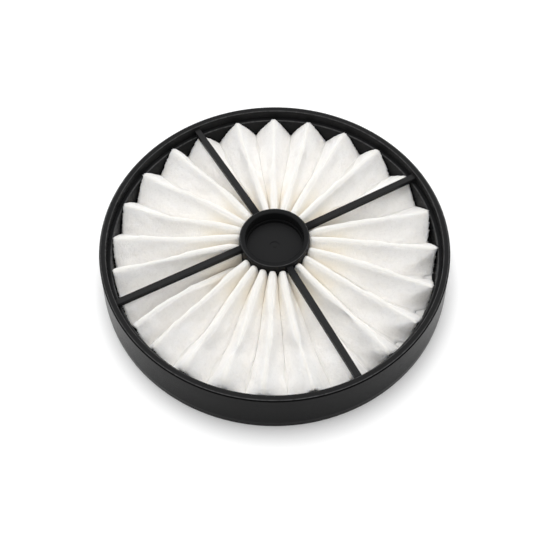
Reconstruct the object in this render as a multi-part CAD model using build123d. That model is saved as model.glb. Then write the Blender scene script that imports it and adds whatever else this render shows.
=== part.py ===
from build123d import *
import math
import os

# Round pleated filter: a moulded ring with four spokes and a cupped hub, and
# one pleated sheet of nonwoven held in it. Millimetres, +Z up, origin at the
# middle of the face the ring rests on.

# ---- ring -----------------------------------------------------------------
H = 22.2              # height of the ring
R_LAND = 76.5         # straight seating land at the foot of the outer wall
LAND_H = 4.0
R_TOP = 75.2          # outer wall at the top, after its moulding draft
RIM_BEVEL = 0.55      # outer bevel of the rim
R_RIM_IN = 72.3       # upper inner wall
RIM_IN_BEVEL = 0.3
LEDGE_Z = 17.2        # ledge below the rim
R_LEDGE_IN = 70.6     # lower inner wall
R_SHELF_IN = 66.2     # sloping shelf under the folds, at the outer edge of the sheet
SHELF_T = 1.8
R_CORE_OUT = 73.9     # the wall is cored from below to even thickness
R_CORE_IN = 72.4
CORE_Z = 15.0
FOOT_BEVEL = 0.3

# ---- spokes ---------------------------------------------------------------
SPOKE_AZ = (29.1, 119.9, 204.3, 297.4)      # outer ends
SPOKE_ASIDE = (-0.6, -0.3, -2.1, -0.9)      # sideways offset of the inner ends
SPOKE_R0 = 14.0
SPOKE_W = 2.8
SPOKE_T = 2.4
SPOKE_Z_HUB = 22.3    # top of the spokes at the hub
SPOKE_Z_RING = 20.4   # top of the spokes at the ring
SPOKE_BEVEL = 0.25

# ---- hub ------------------------------------------------------------------
R_HUB = 15.1
HUB_TOP = 23.8
HUB_BOTTOM = 4.6
R_CUP = 12.7          # cup in the top of the hub
R_CUP_LOW = 12.1      # below a small step
CUP_STEP_Z = 18.8
CUP_FLOOR_Z = 17.0
R_HOLLOW = 13.0       # hollow under the hub
HOLLOW_TOP = 15.0
R_HUB_FLANGE = 18.6   # flange under the folds, at the inner edge of the sheet
HUB_BEVEL = 0.35
R_GATE = 2.2          # shallow round gate recess in the cup floor
GATE_D = 0.3
R_GATE_NUB = 0.7      # and the stub left in it
GATE_NUB_H = 0.25

# ---- pleated sheet --------------------------------------------------------
T = 1.0               # thickness of the nonwoven
R_IN = 15.20          # inner cut edge, against the hub
R_OUT = 70.35         # outer cut edge
# azimuth of each fold at the outer edge and at the hub
RIDGE_OUT_AZ = (-2.2, 13.8, 31.4, 46.8, 61.8, 76.6, 90.2, 104.4, 119.9, 132.1,
                147.4, 162.3, 177.7, 191.6, 204.3, 214.8, 225.3, 238.3, 252.4,
                266.0, 282.5, 297.4, 311.2, 326.3, 341.5)
RIDGE_IN_AZ = (2.8, 17.1, 28.5, 45.8, 60.5, 76.2, 90.4, 102.8, 118.9, 130.7,
               145.4, 158.7, 171.8, 186.6, 196.4, 206.8, 222.0, 235.5, 250.7,
               267.0, 282.5, 294.0, 309.0, 327.0, 343.0)
RIDGE_IN = 21.8       # top of the folds at the hub
RIDGE_OUT = 19.2      # top of the folds at the outer edge
HELD_GAP = 0.12       # a fold that a spoke crosses stays this far under the spoke
HELD_WITHIN = 3.4     # and so does a fold closer than this to the middle of a spoke
VALLEY_IN = 7.8       # bottom of the folds, upper face, at the hub
VALLEY_OUT = 8.3      # the same at the outer edge
CREST_IN = 1.75       # width of a fold at the hub, on the middle of the sheet
CREST_OUT = 1.1       # width of a fold at the outer edge
ROOT_IN = 0.46        # width of a valley, as a share of the pitch, at the hub
ROOT_OUT = 0.065      # the same at the outer edge
ROWS = 4              # steps along a fold, which twists from upright to sloping
VALLEY_SLOPE = (VALLEY_OUT - VALLEY_IN) / (R_OUT - R_IN)


def revolved(points):
    face = Plane.XZ * make_face(Polyline(*points, close=True))
    return revolve(face, Axis.Z, 360)


def valley_under(r):
    """Height of the lower face of the valleys at radius r."""
    return VALLEY_OUT - T + (r - R_OUT) * VALLEY_SLOPE


# ---- the moulding ---------------------------------------------------------
shelf_out = valley_under(R_LEDGE_IN) - 0.01
shelf_in = valley_under(R_SHELF_IN) - 0.01
ring = revolved([
    (R_CORE_OUT, 0), (R_LAND - FOOT_BEVEL, 0), (R_LAND, FOOT_BEVEL), (R_LAND, LAND_H),
    (R_TOP, H - RIM_BEVEL), (R_TOP - RIM_BEVEL, H),
    (R_RIM_IN + RIM_IN_BEVEL, H), (R_RIM_IN, H - RIM_IN_BEVEL),
    (R_RIM_IN, LEDGE_Z), (R_LEDGE_IN + 0.25, LEDGE_Z), (R_LEDGE_IN, LEDGE_Z - 0.25),
    (R_LEDGE_IN, shelf_out), (R_SHELF_IN, shelf_in), (R_SHELF_IN, shelf_in - SHELF_T),
    (R_CORE_IN, shelf_in - SHELF_T), (R_CORE_IN, CORE_Z), (R_CORE_OUT, CORE_Z),
])

flange_in = valley_under(R_HUB) - 0.01
flange_out = valley_under(R_HUB_FLANGE) - 0.01
hub = revolved([
    (0, HOLLOW_TOP), (R_HOLLOW, HOLLOW_TOP), (R_HOLLOW, HUB_BOTTOM),
    (R_HUB_FLANGE, HUB_BOTTOM), (R_HUB_FLANGE, flange_out), (R_HUB, flange_in),
    (R_HUB, HUB_TOP - HUB_BEVEL), (R_HUB - HUB_BEVEL, HUB_TOP),
    (R_CUP + HUB_BEVEL, HUB_TOP), (R_CUP, HUB_TOP - HUB_BEVEL), (R_CUP, CUP_STEP_Z),
    (R_CUP_LOW, CUP_STEP_Z), (R_CUP_LOW, CUP_FLOOR_Z), (0, CUP_FLOOR_Z),
])

frame = ring + hub
half = SPOKE_W / 2


def spoke_line(i):
    """Inner and outer end of the top of a spoke, on its middle."""
    a = math.radians(SPOKE_AZ[i])
    u, side = Vector(math.cos(a), math.sin(a), 0), Vector(-math.sin(a), math.cos(a), 0)
    return (u * SPOKE_R0 + side * SPOKE_ASIDE[i] + Vector(0, 0, SPOKE_Z_HUB),
            u * (R_RIM_IN + 0.9) + Vector(0, 0, SPOKE_Z_RING))


for i in range(len(SPOKE_AZ)):
    p, q = spoke_line(i)
    along = q - p
    across = Vector(0, 0, 1).cross(along)
    section = make_face(Polyline(
        (-half, -SPOKE_T), (half, -SPOKE_T), (half, -SPOKE_BEVEL), (half - SPOKE_BEVEL, 0),
        (-half + SPOKE_BEVEL, 0), (-half, -SPOKE_BEVEL), close=True))
    frame += extrude(Plane(p, x_dir=across, z_dir=along) * section, along.length)

frame -= Pos(0, 0, CUP_FLOOR_Z - GATE_D) * Cylinder(
    R_GATE, 2, align=(Align.CENTER, Align.CENTER, Align.MIN))
frame += Pos(0, 0, CUP_FLOOR_Z - GATE_D - 0.2) * Cylinder(
    R_GATE_NUB, GATE_NUB_H + 0.2, align=(Align.CENTER, Align.CENTER, Align.MIN))

# ---- the sheet ------------------------------------------------------------


def offset(line, d):
    """A closed run of (angle-length, height) points moved sideways by d."""
    n, out = len(line), []
    span = line_span
    for i in range(n):
        (x0, y0), (x1, y1), (x2, y2) = line[i - 1], line[i], line[(i + 1) % n]
        if i == 0:
            x0 -= span
        if i == n - 1:
            x2 += span
        ux, uy, vx, vy = x1 - x0, y1 - y0, x2 - x1, y2 - y1
        a, b = math.hypot(ux, uy), math.hypot(vx, vy)
        nx, ny, mx, my = -uy / a, ux / a, -vy / b, vx / b
        k = 1 + nx * mx + ny * my
        out.append((x1 + d * (nx + mx) / k, y1 + d * (ny + my) / k))
    return out


def under_spokes(r, az):
    """Highest top of a fold at radius r that leaves the spokes free."""
    at, top = Vector(r * math.cos(az), r * math.sin(az), 0), RIDGE_IN
    for i in range(len(SPOKE_AZ)):
        p, q = spoke_line(i)
        flat = Vector(q.X - p.X, q.Y - p.Y, 0)
        k = (at - Vector(p.X, p.Y, 0)).dot(flat) / flat.length ** 2
        if -0.2 < k < 1.2 and (at - Vector(p.X, p.Y, 0) - flat * k).length < HELD_WITHIN:
            top = min(top, p.Z + (q.Z - p.Z) * k - SPOKE_T - HELD_GAP)
    return top


def section_at(r):
    """Upper and lower faces of the sheet where it meets radius r."""
    global line_span
    line_span = 2 * math.pi * r
    t = (r - R_IN) / (R_OUT - R_IN)
    c = (CREST_IN + (CREST_OUT - CREST_IN) * t) / 2
    low = VALLEY_IN + (VALLEY_OUT - VALLEY_IN) * t - T / 2
    n, middle = len(RIDGE_OUT_AZ), []
    az = [math.radians(p + (q - p) * t * R_OUT / r) for p, q in zip(RIDGE_IN_AZ, RIDGE_OUT_AZ)]
    for i in range(n):
        turn = (az[i + 1] if i < n - 1 else az[0] + 2 * math.pi) - az[i]
        x, pitch = az[i] * r, turn * r
        v = turn * r * (ROOT_IN * R_IN * (1 - t) + ROOT_OUT * R_OUT * t) / (R_IN + (R_OUT - R_IN) * t) / 2
        z = min(RIDGE_IN + (RIDGE_OUT - RIDGE_IN) * t, under_spokes(r, az[i])) - T / 2
        middle += [(x - c, z), (x + c, z), (x + pitch / 2 - v, low), (x + pitch / 2 + v, low)]

    def place(points):
        return [Vector(r * math.cos(s / r), r * math.sin(s / r), z) for s, z in points]
    return place(offset(middle, T / 2)), place(offset(middle, -T / 2))


def tri(a, b, c):
    return Face(Wire.make_polygon([a, b, c], close=True))


def strip(p, q, over=True):
    """Two triangles per step between two closed runs of points, split the same way on both faces."""
    faces = []
    for i in range(len(p)):
        j = (i + 1) % len(p)
        if over:
            faces += [tri(p[i], p[j], q[j]), tri(p[i], q[j], q[i])]
        else:
            faces += [tri(p[i], q[j], p[j]), tri(p[i], q[i], q[j])]
    return faces


rows = [section_at(R_IN + (R_OUT - R_IN) * k / ROWS) for k in range(ROWS + 1)]
skin = strip(rows[0][1], rows[0][0]) + strip(rows[-1][0], rows[-1][1])
for (up0, down0), (up1, down1) in zip(rows, rows[1:]):
    skin += strip(up0, up1) + strip(down0, down1, over=False)
media = Solid(Shell(skin))
if media.volume < 0:
    media = -media

os.makedirs("parts", exist_ok=True)
export_step(frame, "parts/filter_frame.step")
export_step(media, "parts/pleated_media.step")
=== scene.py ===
import math

import bpy
import numpy as np
from mathutils import Matrix, Vector


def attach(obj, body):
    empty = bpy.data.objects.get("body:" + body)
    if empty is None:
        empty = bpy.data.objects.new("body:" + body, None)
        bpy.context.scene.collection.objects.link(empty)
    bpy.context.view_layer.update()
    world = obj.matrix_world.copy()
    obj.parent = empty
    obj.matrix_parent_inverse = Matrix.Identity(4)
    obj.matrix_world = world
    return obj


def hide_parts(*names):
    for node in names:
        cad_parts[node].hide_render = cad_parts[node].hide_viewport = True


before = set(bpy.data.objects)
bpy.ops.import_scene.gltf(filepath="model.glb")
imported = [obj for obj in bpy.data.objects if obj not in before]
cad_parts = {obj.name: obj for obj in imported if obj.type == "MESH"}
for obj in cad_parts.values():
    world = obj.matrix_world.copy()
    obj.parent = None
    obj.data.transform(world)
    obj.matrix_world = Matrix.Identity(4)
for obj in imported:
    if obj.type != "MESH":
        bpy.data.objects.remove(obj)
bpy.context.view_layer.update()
scene = bpy.context.scene
MM = 0.001

# ---------------------------------------------------------------- the sheet
T = 1.0                       # thickness of the nonwoven
R_IN, R_OUT = 15.22, 70.35    # inner and outer cut edge
RIDGE_IN, RIDGE_OUT = 21.8, 19.2
VALLEY_IN, VALLEY_OUT = 7.8, 8.3
# each spoke: azimuth of its outer end, sideways offset of its inner end; top heights, size
SPOKES = ((29.1, -0.6), (119.9, -0.3), (204.3, -2.1), (297.4, -0.9))
SPOKE_R0, SPOKE_R1, SPOKE_Z0, SPOKE_Z1, SPOKE_W, SPOKE_T = 14.0, 73.2, 22.3, 20.4, 2.8, 2.4
# each fold: azimuth at its outer end, sideways offsets at 0 0.2 0.4 0.6 0.8 of its length (mm)
FOLDS = (
    (-2.2, (1.34, 1.62, 1.21, 0.47, -0.02)), (13.8, (0.80, 1.06, 0.96, 0.57, -0.12)),
    (31.4, (-0.75, -0.20, 0.30, 0.30, 0.10)), (46.8, (-0.26, 0.17, 0.30, 0.19, 0.20)),
    (61.8, (-0.33, 0.04, 0.19, 0.04, -0.05)), (76.6, (-0.11, -0.08, -0.23, -0.46, -0.33)),
    (90.2, (0.06, 0.16, 0.34, 0.16, -0.13)), (104.4, (-0.42, -0.45, -0.18, 0.23, 0.37)),
    (119.9, (-0.28, -0.20, -0.15, -0.10, -0.05)), (132.1, (-0.38, -1.21, -1.70, -0.76, -0.29)),
    (147.4, (-0.53, -1.34, -1.60, -1.08, 0.06)), (162.3, (-0.97, -1.02, 0.22, 1.80, 0.98)),
    (177.7, (-1.57, -1.19, 0.12, -0.23, -0.68)), (191.6, (-1.30, -1.37, -1.19, -0.71, -0.68)),
    (204.3, (-2.10, -1.68, -1.26, -0.84, -0.42)), (214.8, (-2.15, -2.60, -2.25, -1.74, -1.20)),
    (225.3, (-0.90, -1.50, -0.87, -1.15, -1.30)), (238.3, (-0.40, -0.80, -0.29, 0.44, 0.00)),
    (252.4, (-0.20, -0.35, 0.34, 0.65, -0.12)), (266.0, (0.20, 0.18, 1.06, 1.10, 0.50)),
    (282.5, (0.05, -0.80, -1.10, -1.10, -0.48)), (297.4, (-0.90, -0.72, -0.54, -0.36, -0.18)),
    (311.2, (-0.60, -0.90, -0.75, -0.01, 0.04)), (326.3, (0.15, 0.00, -0.20, -0.18, -0.08)),
    (341.5, (0.30, 0.95, 0.98, 0.65, 0.02)),
)
PINCHED = {0: 1.0, 22: 0.8, 23: 1.0, 24: 1.1}    # folds whose outer end is bent down on the near side
DRAWN_IN = {0: 1.6, 24: 0.5, 5: 0.3}              # valleys whose outer end stops short (mm)
ARC, SLOPE, SLIT = 4, 12, 2      # samples on a bend, on a flank and in its closed part


def waves(p, seed, count, longest, shortest):
    """A smooth irregular field at the points p (n, 3) in mm, about -1 to 1."""
    rng = np.random.default_rng(seed)
    out = np.zeros(p.shape[:-1])
    for _ in range(count):
        d = rng.normal(size=3)
        d /= np.linalg.norm(d)
        k = 2 * math.pi / math.exp(rng.uniform(math.log(shortest), math.log(longest)))
        out += np.sin(k * (p @ d) + rng.uniform(0, 2 * math.pi))
    return out / math.sqrt(count) * 0.8


def soft(x, lo, hi):
    t = np.clip((x - lo) / (hi - lo), 0, 1)
    return t * t * (3 - 2 * t)


def smooth_rows(a, r, width):
    """Running average along a fold over about the given length in mm."""
    w = np.exp(-((r[:, None] - r[None, :]) / width) ** 2) * np.gradient(r)[None, :]
    return (w / w.sum(1, keepdims=True)) @ a


def half_fold(h, top, low, bend_top, bend_low, shut, share, hollow):
    """Middle line of the sheet from a fold top to the next fold bottom, h to the side.

    share 1 closes the valley from the depth shut downwards, 0 leaves it open;
    hollow makes the flank of a closed valley sag into a soft trough."""
    g = T / 2 + 0.012
    # open valley: two bends and a straight flank
    dz = top - low - bend_top - bend_low
    th = np.arctan2(dz, h) + np.arcsin(np.minimum(0.95, (bend_top + bend_low) / np.hypot(h, dz)))
    ox, oz = [], []
    for k in range(ARC + 1):
        ox.append(bend_top * np.sin(th * k / ARC))
        oz.append(top - bend_top + bend_top * np.cos(th * k / ARC))
    x0, z0 = ox[-1], oz[-1]
    x1, z1 = h - bend_low * np.sin(th), low + bend_low - bend_low * np.cos(th)
    for k in range(1, SLOPE + SLIT + 1):
        t = k / (SLOPE + SLIT)
        ox.append(x0 + (x1 - x0) * t); oz.append(z0 + (z1 - z0) * t)
    for k in range(1, ARC + 1):
        a = th * (1 - k / ARC)
        ox.append(h - bend_low * np.sin(a)); oz.append(low + bend_low - bend_low * np.cos(a))
    # closed valley: the flank leans on its neighbour below the depth shut
    sx, sz = np.maximum(h - g, 0.3), np.maximum(top - shut, low + g + 0.2)
    b = np.minimum(bend_top, sx)
    dist = np.hypot(sx, sz - (top - b))
    tc = np.arctan2(top - b - sz, sx) + np.arcsin(np.clip(b / dist, -1, 1))
    cx, cz = [], []
    for k in range(ARC + 1):
        cx.append(b * np.sin(tc * k / ARC))
        cz.append(top - b + b * np.cos(tc * k / ARC))
    x0, z0 = cx[-1], cz[-1]
    for k in range(1, SLOPE + 1):
        t = k / SLOPE
        cx.append(x0 + (sx - x0) * t); cz.append(z0 + (sz - z0) * (t + hollow * t * (1 - t)))
    for k in range(1, SLIT + 1):
        cx.append(sx); cz.append(sz + (low + g - sz) * k / SLIT)
    for k in range(1, ARC + 1):
        a = math.pi / 2 * (1 - k / ARC)
        cx.append(h - (h - sx) * np.sin(a)); cz.append(low + g - g * np.cos(a))
    w = share[:, None]
    x = np.stack(ox, -1) * (1 - w) + np.stack(cx, -1) * w
    z = np.stack(oz, -1) * (1 - w) + np.stack(cz, -1) * w
    # upward normals, level at both ends
    dx, dzz = np.gradient(x, axis=1), np.gradient(z, axis=1)
    ns, nz = -dzz, dx
    ns[:, 0], nz[:, 0], ns[:, -1], nz[:, -1] = 0, 1, 0, 1
    n = np.hypot(ns, nz)
    return x, z, ns / n, nz / n


def spoke_at(i, x, y):
    """Distance sideways from the middle of a spoke, and the height of its underside."""
    a, aside = math.radians(SPOKES[i][0]), SPOKES[i][1]
    u = np.array([math.cos(a), math.sin(a)])
    p = u * SPOKE_R0 + np.array([-u[1], u[0]]) * aside
    q = u * SPOKE_R1
    d = q - p
    length = np.linalg.norm(d)
    d = d / length
    along = (x - p[0]) * d[0] + (y - p[1]) * d[1]
    across = np.abs(-(x - p[0]) * d[1] + (y - p[1]) * d[0])
    across = np.where((along > -3) & (along < length + 3), across, 99.0)
    return across, SPOKE_Z0 + (SPOKE_Z1 - SPOKE_Z0) * along / length - SPOKE_T


def folded_sheet():
    rng = np.random.default_rng(11)
    n = len(FOLDS)
    r = np.concatenate([R_IN + np.array([0, 0.22, 0.5, 0.85, 1.3, 1.9]),
                        np.linspace(R_IN + 2.9, R_OUT - 2.2, 30),
                        R_OUT - np.array([1.2, 0.7, 0.35, 0.12, 0.0])])
    t = (r - R_IN) / (R_OUT - R_IN)
    az = np.radians([f[0] for f in FOLDS])
    side = np.stack([np.interp(t, (0, .2, .4, .6, .8, 1), f[1] + (0.0,)) for f in FOLDS], 1)
    side = smooth_rows(side, r, 3.0)
    ridge_az = az[None, :] + side / r[:, None]
    nxt = np.roll(ridge_az, -1, 1)
    nxt[:, -1] += 2 * math.pi
    lean = rng.uniform(-0.5, 0.5, n)[None, :] * np.sin(math.pi * t)[:, None]
    valley_az = (ridge_az + nxt) / 2 + lean / r[:, None]
    sag = rng.uniform(-0.55, 0.15, n)[None, :] * np.sin(math.pi * t)[:, None]
    top = (RIDGE_IN + (RIDGE_OUT - RIDGE_IN) * t)[:, None] + sag
    top -= rng.uniform(0, 0.5, n)[None, :] * soft(r, 64, 70)[:, None]
    # folds under or beside a spoke stay below it
    rx, ry = r[:, None] * np.cos(ridge_az), r[:, None] * np.sin(ridge_az)
    for i in range(len(SPOKES)):
        across, under = spoke_at(i, rx, ry)
        free = soft(across, 2.9, 4.2)
        top = np.minimum(top, under - 0.15 + free * 9)
    # one fold by the lower left spoke sinks between its neighbours towards the hub
    top[:, 15] -= 7.2 * (1 - soft(r, 20, 50))
    top = smooth_rows(top, r, 1.6) - T / 2
    # the outer ends bend down under the near side of the rim
    near = soft(-np.sin(az), 0.35, 0.8)
    near[20] = 0.1
    top -= 1.5 * near[None, :] * (soft(r, 65.5, 70.5) ** 2)[:, None]
    # the fold tops roll over a little at the hub
    top -= 0.7 * (np.maximum(0, 1 - (r - R_IN) / 1.4) ** 2)[:, None]
    low = (VALLEY_IN + (VALLEY_OUT - VALLEY_IN) * t - T / 2)[:, None] + np.zeros((1, n))
    bend_top = 0.86 + 0.26 * soft(r, 16, 24) - 0.50 * soft(r, 28, 48) + 0.18 * soft(r, 63, 70)
    bend_low = 0.95 + 0.75 * soft(r, 36, 46) * (1 - soft(r, 60, 68))
    shut = 4.6 + 1.5 * soft(r, 16, 34) + 6.3 * soft(r, 29, 54)
    share = 1 - soft(r, 48, 60)
    hollow = 0.60 * soft(r, 20, 32)
    short = rng.uniform(0, 0.5, n)
    for i, d in DRAWN_IN.items():
        short[i] = d
    cols_s, cols_z, cols_ns, cols_nz, cols_f, cols_in, cols_pin = [], [], [], [], [], [], []
    prev_valley = np.roll(valley_az, 1, 1)
    prev_valley[:, 0] -= 2 * math.pi
    prev_low = np.roll(low, 1, 1)
    where = np.linspace(0, 1, 2 * ARC + SLOPE + SLIT + 1)[None, :] + np.zeros((len(r), 1))
    for i in range(n):
        c = ridge_az[:, i:i + 1] * r[:, None]
        for left in (True, False):
            v = prev_valley if left else valley_az
            lo = prev_low if left else low
            h = np.abs(ridge_az[:, i] - v[:, i]) * r
            x, z, ns, nz = half_fold(h, top[:, i], lo[:, i], bend_top, bend_low, shut, share, hollow)
            f = where
            inward = short[i - 1 if left else i] * f ** 1.5
            pinch = -0.50 * PINCHED.get(i, 0.0) * left * np.maximum(0, r[:, None] - R_OUT + 15 * f) \
                * np.clip(np.sin(math.pi * f), 0, 1)
            if left:
                x, z, ns, nz, f = -x[:, ::-1], z[:, ::-1], -ns[:, ::-1], nz[:, ::-1], f[:, ::-1]
                inward, pinch = inward[:, ::-1], pinch[:, ::-1]
            cols_in.append(inward[:, :-1]); cols_pin.append(pinch[:, :-1])
            cols_s.append((c + x)[:, :-1]); cols_z.append(z[:, :-1])
            cols_ns.append(ns[:, :-1]); cols_nz.append(nz[:, :-1]); cols_f.append(f[:, :-1])
    s, z = np.concatenate(cols_s, 1), np.concatenate(cols_z, 1)
    ns, nz = np.concatenate(cols_ns, 1), np.concatenate(cols_nz, 1)
    down_flank = np.concatenate(cols_f, 1)
    flank = np.sin(math.pi * down_flank) ** 2
    rr = np.repeat(r[:, None], s.shape[1], 1)
    ang = s / rr
    mid = np.stack([rr * np.cos(ang), rr * np.sin(ang), z], -1)
    # soft dents and ripples of the nonwoven, fading where the folds are shut
    fade = (soft(r, 22, 42) * (1 - 0.5 * soft(r, 64, 70)))[:, None] * (1 - share[:, None] * soft(down_flank, 0.40, 0.68))
    dent = (0.42 * waves(mid, 3, 14, 26, 9) + 0.20 * waves(mid, 4, 18, 7, 3.4)) * fade
    dent += 0.35 * flank * soft(r, 50, 68)[:, None] + np.concatenate(cols_pin, 1)
    inward = np.concatenate(cols_in, 1) * (np.maximum(0, (rr - 62) / (R_OUT - 62)) ** 2)
    thick = T * (1 + 0.05 * waves(mid, 5, 16, 9, 3) * fade)
    # the cut edges: slightly ragged, and rounded over
    ragged = waves(mid, 6, 26, 2.4, 0.7)
    edge_out = np.exp(-((R_OUT - rr) / 0.5) ** 2)
    edge_in = np.exp(-((rr - R_IN) / 0.5) ** 2)

    def face(side_of):
        off = dent + side_of * thick / 2 * (1 - 0.35 * edge_out - 0.15 * edge_in)
        a = (s + off * ns) / rr
        q = rr - inward + (0.20 * ragged - 0.38) * edge_out + 0.10 * np.abs(ragged) * edge_in
        return np.stack([q * np.cos(a), q * np.sin(a), z + off * nz], -1)

    up, down = face(1), face(-1)
    # nothing goes through the shelf, the hub flange or the spokes
    under = VALLEY_OUT - T + (rr - R_OUT) * (VALLEY_OUT - VALLEY_IN) / (R_OUT - 15.2)
    bonded = (rr > 65.8) | (rr < 18.9)
    down[..., 2] = np.where(bonded, np.maximum(down[..., 2], under + 0.02), down[..., 2])
    for i in range(len(SPOKES)):
        for g in (up, down):
            across, below = spoke_at(i, g[..., 0], g[..., 1])
            g[..., 2] = np.where(across < SPOKE_W / 2 + 0.12, np.minimum(g[..., 2], below - 0.08), g[..., 2])
    rows, cols = s.shape
    mid_in = (up[0] + down[0]) / 2
    # the outer cut edge is frayed: three points to each column, pulled out by fibre ends
    mid_out = (up[-1] + down[-1]) / 2
    step = np.roll(mid_out, -1, 0) - mid_out
    frayed = np.stack([mid_out + step * k / 3 for k in range(3)], 1).reshape(-1, 3)
    frayed[:, 2] += rng.normal(0, 0.07, len(frayed))
    k = np.linalg.norm(frayed[:, :2], axis=1)
    pulled = k + 0.06 + np.minimum(rng.exponential(0.24, len(frayed)), 0.9)
    pulled = np.minimum(pulled, np.where(frayed[:, 2] > 17.9, 71.2, 70.5))
    turn = np.arctan2(frayed[:, 1], frayed[:, 0]) + rng.normal(0, 0.07, len(frayed)) / k
    frayed[:, 0], frayed[:, 1] = pulled * np.cos(turn), pulled * np.sin(turn)
    verts = np.concatenate([up.reshape(-1, 3), down.reshape(-1, 3), mid_in, frayed]) * MM
    j = np.arange(cols)
    jn = (j + 1) % cols
    b = rows * cols
    quads = []
    for i in range(rows - 1):
        a0, a1 = i * cols, (i + 1) * cols
        quads.append(np.stack([a0 + j, a1 + j, a1 + jn, a0 + jn], 1))
        quads.append(np.stack([b + a0 + j, b + a0 + jn, b + a1 + jn, b + a1 + j], 1))
    m = 2 * b
    quads.append(np.stack([j, jn, m + jn, m + j], 1))
    quads.append(np.stack([m + j, m + jn, b + jn, b + j], 1))
    quads = np.concatenate(quads).tolist()
    e, m = (rows - 1) * cols, 2 * b + cols
    f0, f1, f2, f3 = m + 3 * j, m + 3 * j + 1, m + 3 * j + 2, m + 3 * jn
    for x, y in ((e + j, e + jn), (b + e + j, b + e + jn)):
        for tri in ((x, f0, f1), (x, f1, f2), (x, f2, y), (y, f2, f3)):
            tri = tri if x[0] == e else (tri[0], tri[2], tri[1])
            quads += np.stack(tri, 1).tolist()
    mesh = bpy.data.meshes.new("pleated_nonwoven")
    mesh.from_pydata(verts.tolist(), [], quads)
    mesh.polygons.foreach_set("use_smooth", np.ones(len(quads), dtype=bool))
    mesh.update()
    run = np.linalg.norm(np.diff(np.concatenate([mid, mid[:, :1]], 1), axis=1), axis=-1).sum(1)
    print("sheet run at hub, middle, rim (mm):", run[0], run[rows // 2], run[-1])
    return bpy.data.objects.new("pleated_nonwoven", mesh)


# ---------------------------------------------------------------- materials
def shader(name):
    mat = bpy.data.materials.new(name)
    mat.use_nodes = True
    nt = mat.node_tree
    bsdf = nt.nodes["Principled BSDF"]
    return mat, nt, bsdf


def add(nt, kind, **values):
    node = nt.nodes.new(kind)
    for key, value in values.items():
        if key.startswith("in_"):
            key = key[3:]
            node.inputs[int(key) if key.isdigit() else key.replace("_", " ")].default_value = value
        else:
            setattr(node, key, value)
    return node


def maths(nt, op, a, b=None, clamp=False):
    node = nt.nodes.new("ShaderNodeMath")
    node.operation = op
    node.use_clamp = clamp
    for i, v in enumerate((a, b)):
        if v is None:
            continue
        if isinstance(v, (int, float)):
            node.inputs[i].default_value = v
        else:
            nt.links.new(v, node.inputs[i])
    return node.outputs[0]


def ramp(nt, value, lo, hi, to_lo=0.0, to_hi=1.0):
    node = nt.nodes.new("ShaderNodeMapRange")
    node.interpolation_type = "SMOOTHSTEP"
    node.inputs["From Min"].default_value = lo
    node.inputs["From Max"].default_value = hi
    node.inputs["To Min"].default_value = to_lo
    node.inputs["To Max"].default_value = to_hi
    nt.links.new(value, node.inputs["Value"])
    return node.outputs["Result"]


def blend(nt, share, a, b):
    node = nt.nodes.new("ShaderNodeMix")
    node.data_type = "RGBA"
    nt.links.new(share, node.inputs["Factor"])
    for key, v in (("A", a), ("B", b)):
        sock = [s for s in node.inputs if s.name == key and s.type == "RGBA"][0]
        if isinstance(v, tuple):
            sock.default_value = v
        else:
            nt.links.new(v, sock)
    return [s for s in node.outputs if s.type == "RGBA"][0]


def noise(nt, vector, scale, detail=3.0, rough=0.55, distortion=0.0):
    node = nt.nodes.new("ShaderNodeTexNoise")
    node.inputs["Scale"].default_value = scale
    node.inputs["Detail"].default_value = detail
    node.inputs["Roughness"].default_value = rough
    node.inputs["Distortion"].default_value = distortion
    nt.links.new(vector, node.inputs["Vector"])
    return node.outputs["Fac"]


def place(nt):
    """Object coordinates, the radius from the axis and the height, in metres."""
    co = nt.nodes.new("ShaderNodeTexCoord").outputs["Object"]
    xyz = nt.nodes.new("ShaderNodeSeparateXYZ")
    nt.links.new(co, xyz.inputs[0])
    x, y, z = xyz.outputs
    r = maths(nt, "SQRT", maths(nt, "ADD", maths(nt, "MULTIPLY", x, x), maths(nt, "MULTIPLY", y, y)))
    return co, r, z


def bump(nt, height, strength, distance, bsdf):
    node = nt.nodes.new("ShaderNodeBump")
    node.inputs["Strength"].default_value = strength
    node.inputs["Distance"].default_value = distance
    nt.links.new(height, node.inputs["Height"])
    nt.links.new(node.outputs["Normal"], bsdf.inputs["Normal"])


def facing_up(nt):
    """Upward part of the surface normal."""
    geo = nt.nodes.new("ShaderNodeNewGeometry")
    sep = nt.nodes.new("ShaderNodeSeparateXYZ")
    nt.links.new(geo.outputs["Normal"], sep.inputs[0])
    return sep.outputs[2]


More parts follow.
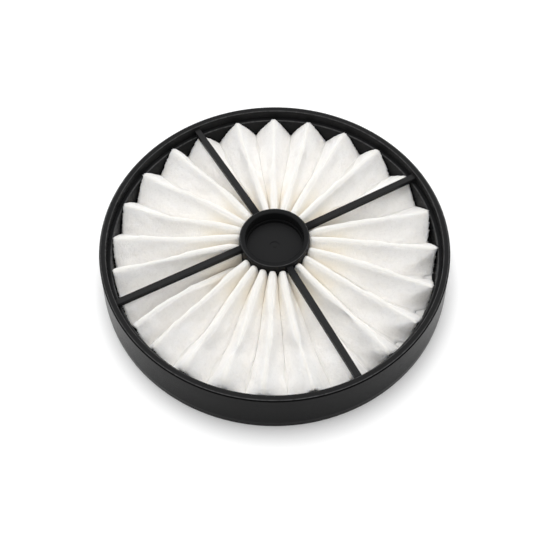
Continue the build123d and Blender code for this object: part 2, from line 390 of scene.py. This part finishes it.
def nonwoven_material():
    mat, nt, bsdf = shader("nonwoven")
    co, r, z = place(nt)
    up = facing_up(nt)
    mottle = noise(nt, co, 260, 5, 0.62)
    fibre = noise(nt, co, 2600, 5, 0.65, 1.2)
    tuft = noise(nt, co, 800, 5, 0.65, 0.8)
    cream = ramp(nt, r, 0.052, 0.020)
    base = blend(nt, cream, (0.985, 0.958, 0.920, 1), (0.985, 0.938, 0.860, 1))
    base = blend(nt, ramp(nt, mottle, 0.38, 0.72, 0.0, 0.40), base, (0.922, 0.896, 0.862, 1))
    base = blend(nt, ramp(nt, tuft, 0.54, 0.32, 0.0, 0.62), base, (0.868, 0.842, 0.808, 1))
    # painted shade: the low valleys by the hub are painted a darker, warmer cream
    painted_valley_shade = maths(nt, "MULTIPLY", ramp(nt, z, 0.0205, 0.0165), ramp(nt, r, 0.038, 0.024))
    base = blend(nt, maths(nt, "MULTIPLY", painted_valley_shade, 0.65), base, (0.890, 0.815, 0.700, 1))
    # painted shade: faces turned up, the fold tops, are painted greyer than the flanks, toning down the light
    # that falls on them from above
    base = blend(nt, ramp(nt, up, 0.50, 0.97, 0.0, 0.92), base, (0.740, 0.725, 0.694, 1))
    cut = maths(nt, "MULTIPLY", ramp(nt, r, 0.0697, 0.0704), ramp(nt, tuft, 0.35, 0.6, 0.10, 0.55))
    base = blend(nt, cut, base, (0.62, 0.61, 0.59, 1))
    nt.links.new(base, bsdf.inputs["Base Color"])
    nt.links.new(ramp(nt, fibre, 0.3, 0.7, 0.82, 0.98), bsdf.inputs["Roughness"])
    bsdf.inputs["Specular IOR Level"].default_value = 0.10
    bsdf.inputs["Sheen Weight"].default_value = 0.15
    bsdf.inputs["Sheen Roughness"].default_value = 0.6
    bsdf.inputs["Subsurface Weight"].default_value = 0.7
    bsdf.inputs["Subsurface Radius"].default_value = (1.0, 0.95, 0.86)
    bsdf.inputs["Subsurface Scale"].default_value = 0.0018
    high = maths(nt, "ADD", maths(nt, "MULTIPLY", fibre, 0.45), tuft)
    bump(nt, high, 0.85, 0.00062, bsdf)
    return mat


def plastic_material():
    mat, nt, bsdf = shader("frame_plastic")
    co, r, z = place(nt)
    cloud = noise(nt, co, 60, 3, 0.5)
    grain = noise(nt, co, 3200, 3, 0.6)
    scuff = noise(nt, co, 260, 6, 0.7, 2.5)
    base = blend(nt, ramp(nt, cloud, 0.3, 0.7), (0.0110, 0.0112, 0.0116, 1), (0.0132, 0.0134, 0.0139, 1))
    # painted light: the upper faces of the spokes, and a little the flat of the rim, are painted lighter than the
    # hub and the walls, with scuff noise through it
    painted_top_light = maths(nt, "MULTIPLY", ramp(nt, r, 0.016, 0.024), ramp(nt, z, 0.0200, 0.0204))
    painted_top_tone = blend(nt, ramp(nt, r, 0.0708, 0.0722), (0.0240, 0.0240, 0.0243, 1), (0.0150, 0.0150, 0.0153, 1))
    base = blend(nt, maths(nt, "MULTIPLY", painted_top_light, ramp(nt, scuff, 0.3, 0.7, 0.8, 1.0)), base, painted_top_tone)
    # painted light: the floor of the cup is painted a little lighter, lifting the shade in the recess
    painted_cup_light = maths(nt, "MULTIPLY", ramp(nt, r, 0.0124, 0.0120), ramp(nt, z, 0.0173, 0.0170))
    base = blend(nt, painted_cup_light, base, (0.0172, 0.0173, 0.0178, 1))
    # painted highlights: light lines painted along both edges of the rim, the ledge and the edge of the hub,
    # broken up by scuff noise
    rim = maths(nt, "MULTIPLY", ramp(nt, z, 0.02208, 0.02216),
                maths(nt, "MULTIPLY", ramp(nt, r, 0.07420, 0.07450), ramp(nt, r, 0.07475, 0.07468)))
    rim_in = maths(nt, "MULTIPLY", ramp(nt, z, 0.0217, 0.0221),
                   maths(nt, "MULTIPLY", ramp(nt, r, 0.07275, 0.07250), ramp(nt, r, 0.0715, 0.0721)))
    ledge = maths(nt, "MULTIPLY", maths(nt, "MULTIPLY", ramp(nt, z, 0.0168, 0.0170), ramp(nt, z, 0.0175, 0.0173)),
                  maths(nt, "MULTIPLY", ramp(nt, r, 0.07125, 0.07095), ramp(nt, r, 0.0700, 0.0704)))
    hub = maths(nt, "MULTIPLY", ramp(nt, z, 0.02355, 0.02378),
                maths(nt, "MULTIPLY", ramp(nt, r, 0.01450, 0.01470), ramp(nt, r, 0.01500, 0.01480)))
    painted_highlight_lines = maths(nt, "MAXIMUM", maths(nt, "MAXIMUM", rim, rim_in), maths(nt, "MAXIMUM", ledge, hub))
    painted_edge_highlight = maths(nt, "MULTIPLY", painted_highlight_lines, ramp(nt, scuff, 0.35, 0.65, 0.35, 0.95))
    base = blend(nt, painted_edge_highlight, base, (0.072, 0.072, 0.073, 1))
    # painted shade: the outer wall below the rim is painted a deeper black
    painted_wall_shade = maths(nt, "MULTIPLY", ramp(nt, r, 0.07470, 0.07490), ramp(nt, z, 0.02150, 0.02130))
    base = blend(nt, maths(nt, "MULTIPLY", painted_wall_shade, ramp(nt, cloud, 0.3, 0.7, 0.85, 1.0)), base, (0.0050, 0.0051, 0.0053, 1))
    # painted shade: the outer bevel of the rim and a thin band below it are painted near black, a dark line where
    # the rim meets the wall
    painted_bevel_shade = maths(nt, "MULTIPLY", ramp(nt, r, 0.07472, 0.07484),
                  maths(nt, "MULTIPLY", ramp(nt, z, 0.02135, 0.02155), ramp(nt, z, 0.02218, 0.02210)))
    base = blend(nt, maths(nt, "MULTIPLY", painted_bevel_shade, 0.9), base, (0.0020, 0.0020, 0.0020, 1))
    nt.links.new(base, bsdf.inputs["Base Color"])
    rough = maths(nt, "ADD", ramp(nt, scuff, 0.35, 0.7, 0.22, 0.28), maths(nt, "MULTIPLY", painted_edge_highlight, 0.12))
    nt.links.new(rough, bsdf.inputs["Roughness"])
    bsdf.inputs["IOR"].default_value = 1.11
    bsdf.inputs["Specular IOR Level"].default_value = 0.5
    bump(nt, maths(nt, "ADD", grain, maths(nt, "MULTIPLY", scuff, 0.3)), 0.07, 0.00005, bsdf)
    return mat


def floor_material():
    mat, nt, bsdf = shader("pale_floor")
    co = nt.nodes.new("ShaderNodeTexCoord").outputs["Object"]
    base = blend(nt, noise(nt, co, 30, 2), (0.93, 0.93, 0.93, 1), (0.95, 0.95, 0.95, 1))
    nt.links.new(base, bsdf.inputs["Base Color"])
    bsdf.inputs["Roughness"].default_value = 0.9
    bsdf.inputs["Specular IOR Level"].default_value = 0.05
    return mat


sheet = folded_sheet()
scene.collection.objects.link(sheet)
sheet.data.materials.append(nonwoven_material())
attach(sheet, "root")
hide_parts("pleated_media")

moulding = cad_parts["filter_frame"]
moulding.data.materials.clear()
moulding.data.materials.append(plastic_material())

# ---------------------------------------------------------------- the stage
plane = bpy.data.meshes.new("floor")
plane.from_pydata([(-3, -3, 0), (3, -3, 0), (3, 3, 0), (-3, 3, 0)], [], [(0, 1, 2, 3)])
floor = bpy.data.objects.new("floor", plane)
floor.location.z = -0.00002
plane.materials.append(floor_material())
scene.collection.objects.link(floor)

world = bpy.data.worlds.new("studio")
scene.world = world
world.use_nodes = True
wt = world.node_tree
wco = wt.nodes.new("ShaderNodeTexCoord").outputs["Generated"]
wsep = wt.nodes.new("ShaderNodeSeparateXYZ")
wt.links.new(wco, wsep.inputs[0])
level = ramp(wt, wsep.outputs[2], 0.0, 1.0, 0.89, 1.00)
# the room is dark low down on the side the object is seen from
dark = maths(wt, "MULTIPLY", ramp(wt, wsep.outputs[1], -0.30, -0.85), ramp(wt, wsep.outputs[2], 0.68, 0.44))
level = maths(wt, "MULTIPLY", level, maths(wt, "SUBTRACT", 1.0, maths(wt, "MULTIPLY", dark, 0.63)))
wt.links.new(level, wt.nodes["Background"].inputs["Strength"])
wt.nodes["Background"].inputs["Color"].default_value = (1.0, 1.0, 1.0, 1)


def softbox(name, place_at, size, power):
    lamp = bpy.data.lights.new(name, "AREA")
    lamp.shape = "SQUARE"
    lamp.size = size
    lamp.energy = power
    ob = bpy.data.objects.new(name, lamp)
    ob.location = place_at
    ob.rotation_euler = (Vector((0, 0, 0.01)) - Vector(place_at)).to_track_quat("-Z", "Y").to_euler()
    ob.visible_glossy = False
    scene.collection.objects.link(ob)
    return ob


softbox("overhead_box", (-0.05, 0.22, 0.95), 0.45, 5.0)

# ---------------------------------------------------------------- the camera
D, ELEV = 400.0, 1.01925456
PAN, TILT, ROLL = -2.65316e-04, -9.92285e-03, 4.33709e-03


def turned(axis, angle, v):
    axis = axis / np.linalg.norm(axis)
    return (v * math.cos(angle) + np.cross(axis, v) * math.sin(angle)
            + axis * (axis @ v) * (1 - math.cos(angle)))


eye = np.array([0.0, -D * math.cos(ELEV), D * math.sin(ELEV)])
ahead = -eye / np.linalg.norm(eye)
right = np.array([1.0, 0.0, 0.0])
above = np.cross(right, ahead)
ahead, right = turned(above, PAN, ahead), turned(above, PAN, right)
ahead, above = turned(right, TILT, ahead), turned(right, TILT, above)
right, above = turned(ahead, ROLL, right), turned(ahead, ROLL, above)
data = bpy.data.cameras.new("photo_view")
data.sensor_width = 36.0
data.sensor_fit = "HORIZONTAL"
data.lens = 886.599 * 36.0 / 550.0
data.clip_start = 0.01
data.clip_end = 20.0
camera = bpy.data.objects.new("photo_view", data)
m = Matrix.Identity(4)
for row in range(3):
    m[row][0], m[row][1], m[row][2], m[row][3] = right[row], above[row], -ahead[row], eye[row] * MM
camera.matrix_world = m
scene.collection.objects.link(camera)
scene.camera = camera

scene.view_settings.view_transform = "Standard"
scene.view_settings.look = "None"
scene.view_settings.exposure = 0.0
scene.view_settings.gamma = 1.0
